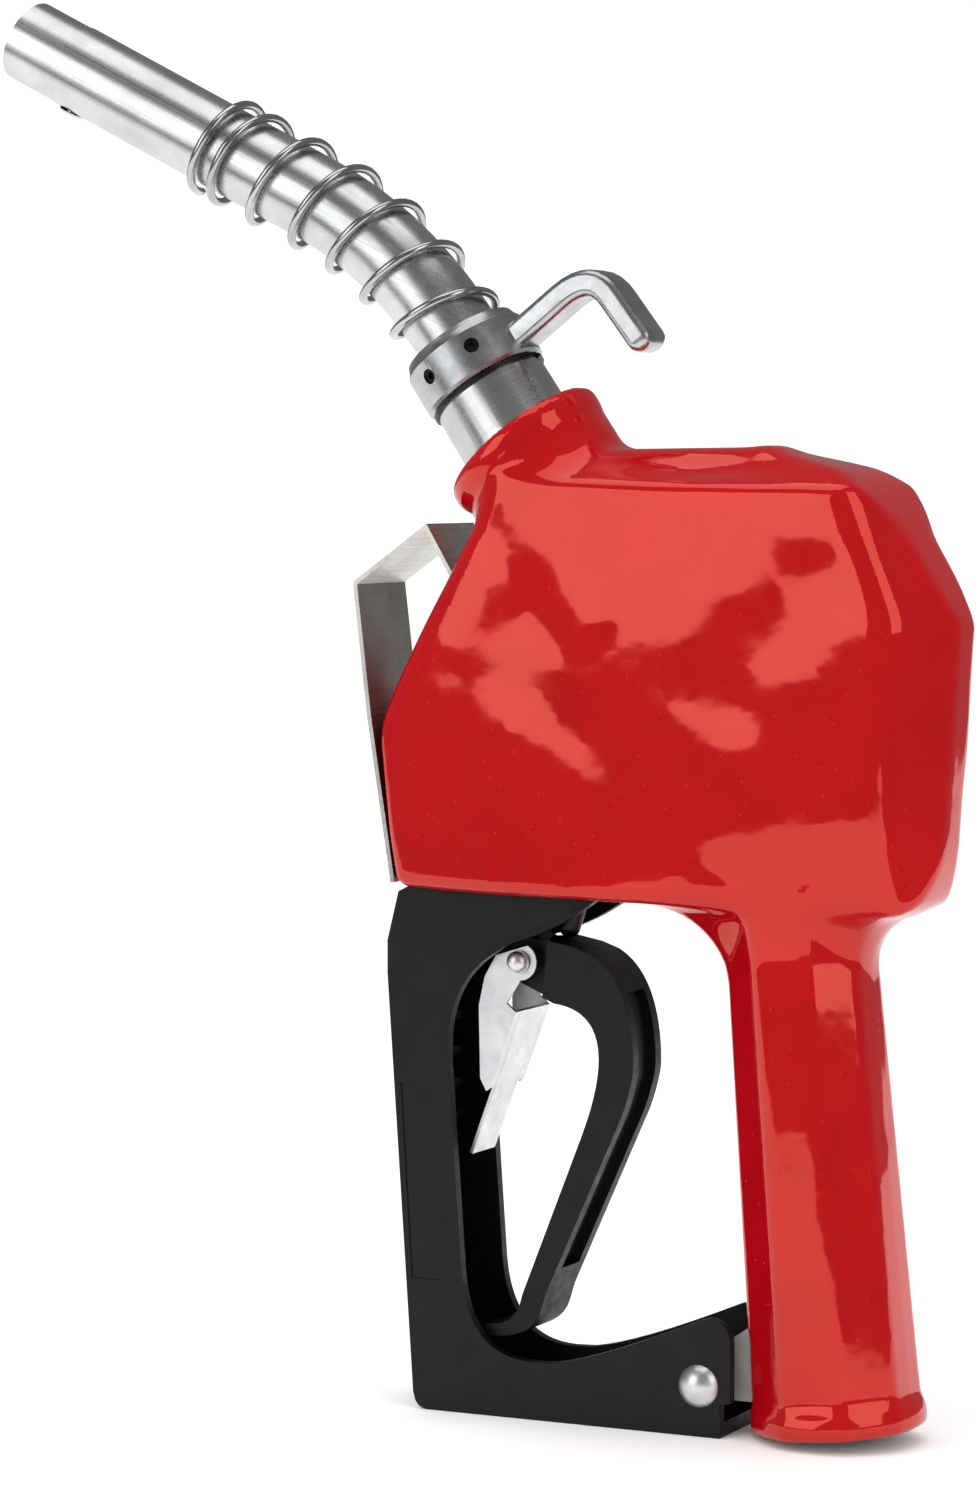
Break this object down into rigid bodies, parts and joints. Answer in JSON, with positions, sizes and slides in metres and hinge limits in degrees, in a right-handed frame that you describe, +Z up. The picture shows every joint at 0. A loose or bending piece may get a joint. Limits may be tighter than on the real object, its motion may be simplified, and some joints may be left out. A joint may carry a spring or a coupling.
{
  "type": "automatic fuel nozzle",
  "caption": "Automatic shut-off fuel nozzle: vinyl-sleeved body and grip, bent spout with spring, hanging hook, lever guard, lever and hold-open clip.",
  "frame": {"origin": "centre of the inlet thread's mouth at the foot of the grip", "axes": "+Z up as the nozzle stands on its guard, +X from the spout towards the grip, Y across the thin way"},
  "size_m": [0.2901, 0.0498, 0.3903],
  "materials": {
    "red_vinyl": "glossy dipped vinyl",
    "black_nylon": "fine moulded texture",
    "spout_aluminium": "drawn tube, brushed",
    "cast_metal": "die cast, tumbled",
    "spring_steel": "bright drawn wire",
    "zinc_plate": "zinc plated sheet and pins",
    "stainless_strap": "cold rolled strip",
    "brass_trim": "turned",
    "black_rubber": "moulded seal",
    "black_oxide": "blackened steel",
    "white_packing": "machined"
  },
  "bodies": {
    "nozzle_body": {"hand_insulator": "red_vinyl", "body_casting": "cast_metal", "spout_adapter": "spout_aluminium", "adapter_o_ring": "black_rubber", "snap_ring": "black_oxide", "spout_tube": "spout_aluminium", "spout_o_ring": "black_rubber", "vacuum_tube": "brass_trim", "sensing_plug": "spout_aluminium", "spout_spring": "spring_steel", "hook_ring": "cast_metal", "hook_set_screws": "black_oxide", "hanger_strap": "stainless_strap", "strap_screws": "zinc_plate", "lever_guard": "black_nylon", "guard_screws": "zinc_plate", "guard_rivet": "zinc_plate", "plunger_spring": "spring_steel", "diaphragm_spring": "spring_steel", "diaphragm_cap": "cast_metal", "diaphragm_screws": "zinc_plate", "poppet_spring": "spring_steel", "poppet_cap": "cast_metal", "cap_o_ring": "black_rubber", "stem_packing": "white_packing", "packing_nut": "black_oxide", "check_spring": "spring_steel", "check_seat": "cast_metal"},
    "trip_plunger": {"plunger": "black_oxide", "lever_pin": "zinc_plate", "latch_balls": "spring_steel"},
    "lever": {"lever": "black_nylon"},
    "hold_open_clip": {"hold_open_clip": "zinc_plate", "clip_spring": "spring_steel"},
    "main_valve": {"valve_stem": "black_oxide", "main_poppet": "brass_trim", "poppet_seal": "black_rubber"},
    "diaphragm": {"diaphragm": "black_rubber", "latch_pin": "zinc_plate"},
    "check_valve": {"check_poppet": "brass_trim"}
  },
  "joints": [
    {"name": "plunger_trip", "type": "slide", "parent": "nozzle_body", "child": "trip_plunger", "axis": [0.2079, 0, -0.9781], "range_m": [0, 0.007], "stiffness_N_per_m": 900, "deforming": ["plunger_spring"]},
    {"name": "lever_pull", "type": "hinge", "parent": "trip_plunger", "child": "lever", "pos_m": [-0.0896, 0, 0.1205], "axis": [0, -1, 0], "range_deg": [0, 24], "stiffness_Nm_per_rad": 0.4},
    {"name": "clip_swing", "type": "hinge", "parent": "trip_plunger", "child": "hold_open_clip", "pos_m": [-0.0896, 0, 0.1205], "axis": [0, 1, 0], "range_deg": [-4, 8], "stiffness_Nm_per_rad": 0.05, "deforming": ["clip_spring"]},
    {"name": "valve_lift", "type": "slide", "parent": "nozzle_body", "child": "main_valve", "axis": [0.309, 0, 0.9511], "range_m": [0, 0.005], "deforming": ["poppet_spring"]},
    {"name": "diaphragm_lift", "type": "slide", "parent": "nozzle_body", "child": "diaphragm", "axis": [-0.2079, 0, 0.9781], "range_m": [0, 0.003], "stiffness_N_per_m": 400, "deforming": ["diaphragm_spring"]},
    {"name": "check_open", "type": "slide", "parent": "nozzle_body", "child": "check_valve", "axis": [-0.5592, 0, 0.829], "range_m": [0, 0.004], "stiffness_N_per_m": 300, "deforming": ["check_spring"]}
  ],
  "couplings": [
    {"joint": "valve_lift", "follows": "lever_pull", "m_per_rad": 0.0115}
  ]
}
